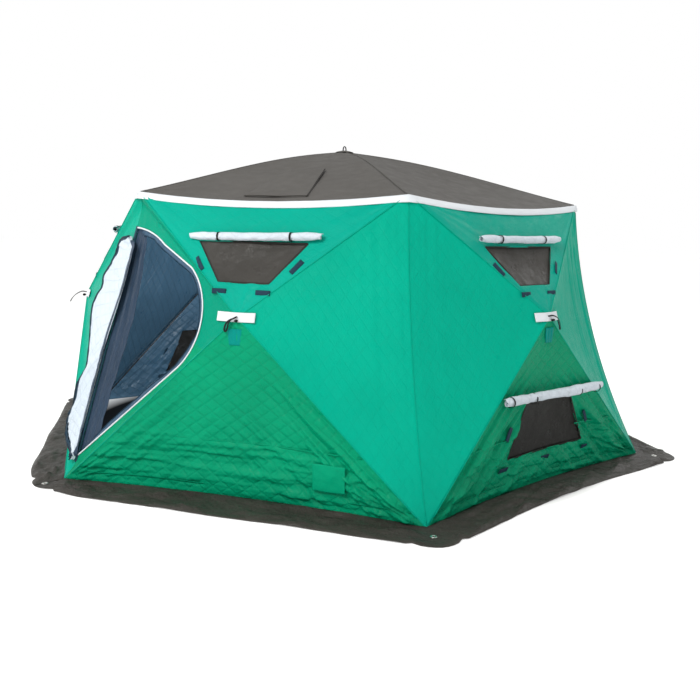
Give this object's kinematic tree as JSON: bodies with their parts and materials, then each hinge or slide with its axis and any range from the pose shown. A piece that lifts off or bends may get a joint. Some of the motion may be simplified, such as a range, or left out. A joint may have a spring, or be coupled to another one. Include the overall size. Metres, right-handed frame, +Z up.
{
  "type": "pop-up ice fishing shelter",
  "caption": "Six-sided pop-up hub shelter for ice fishing: quilted fabric on rod frames, domed roof, snow skirt and one zipped swinging door.",
  "frame": {"origin": "centre of the six-sided footprint, on the ground", "axes": "+Z up; the door's corner points to -Y, and walls 2 and 5, which have the lower windows, face +X and -X"},
  "size_m": [4.1838, 4.7848, 2.072],
  "materials": {
    "taut_shell": "taut coated polyester, faintly quilted, soft sheen",
    "quilted_shell": "quilted coated polyester, diamond stitching, soft sheen",
    "roof_shell": "charcoal coated polyester",
    "skirt_fabric": "dark grey coated fabric, glossy in folds",
    "pale_trim": "pale woven tape",
    "pale_lining": "pale blue-white quilted lining",
    "navy_binding": "dark blue woven binding",
    "window_mesh": "dark fine screen over clear film",
    "webbing": "black webbing",
    "hub_plastic": "moulded black plastic",
    "rod_fibreglass": "black fibreglass rod",
    "grommet_metal": "plated eyelet"
  },
  "bodies": {
    "shelter": {"upper_panel_1": "taut_shell", "upper_panel_2": "taut_shell", "upper_panel_3": "taut_shell", "upper_panel_4": "taut_shell", "upper_panel_5": "taut_shell", "upper_panel_6": "taut_shell", "lower_panel_1": "quilted_shell", "lower_panel_2": "quilted_shell", "lower_panel_3": "quilted_shell", "lower_panel_4": "quilted_shell", "lower_panel_5": "quilted_shell", "lower_panel_6": "quilted_shell", "corner_panel_1": "taut_shell", "corner_panel_2": "taut_shell", "corner_panel_3": "taut_shell", "corner_panel_4": "taut_shell", "corner_panel_5": "taut_shell", "corner_panel_6": "taut_shell", "roof_panel_1": "roof_shell", "roof_panel_2": "roof_shell", "roof_panel_3": "roof_shell", "roof_panel_4": "roof_shell", "roof_panel_5": "roof_shell", "roof_panel_6": "roof_shell", "door_surround": "taut_shell", "door_piping": "pale_trim", "door_zip_band": "navy_binding", "eave_band": "pale_trim", "snow_skirt": "skirt_fabric", "grommets": "grommet_metal", "hubs": "hub_plastic", "upper_wall_rods": "rod_fibreglass", "lower_wall_rods": "rod_fibreglass", "roof_rods": "rod_fibreglass", "rod_pockets": "webbing", "upper_windows": "window_mesh", "lower_windows": "window_mesh", "upper_window_rolls": "pale_lining", "lower_window_rolls": "pale_lining", "roll_ties": "webbing", "window_tabs": "navy_binding", "hub_patches": "pale_trim", "pull_straps": "webbing", "roof_patch": "roof_shell", "port_cover": "quilted_shell"},
    "door": {"door_flap": "pale_lining"}
  },
  "joints": [
    {"name": "door_hinge", "type": "hinge", "parent": "shelter", "child": "door", "pos_m": [0.00145, -1.86107, 0.81427], "axis": [0, 0.2935, 0.956], "range_deg": [0, 201]}
  ]
}
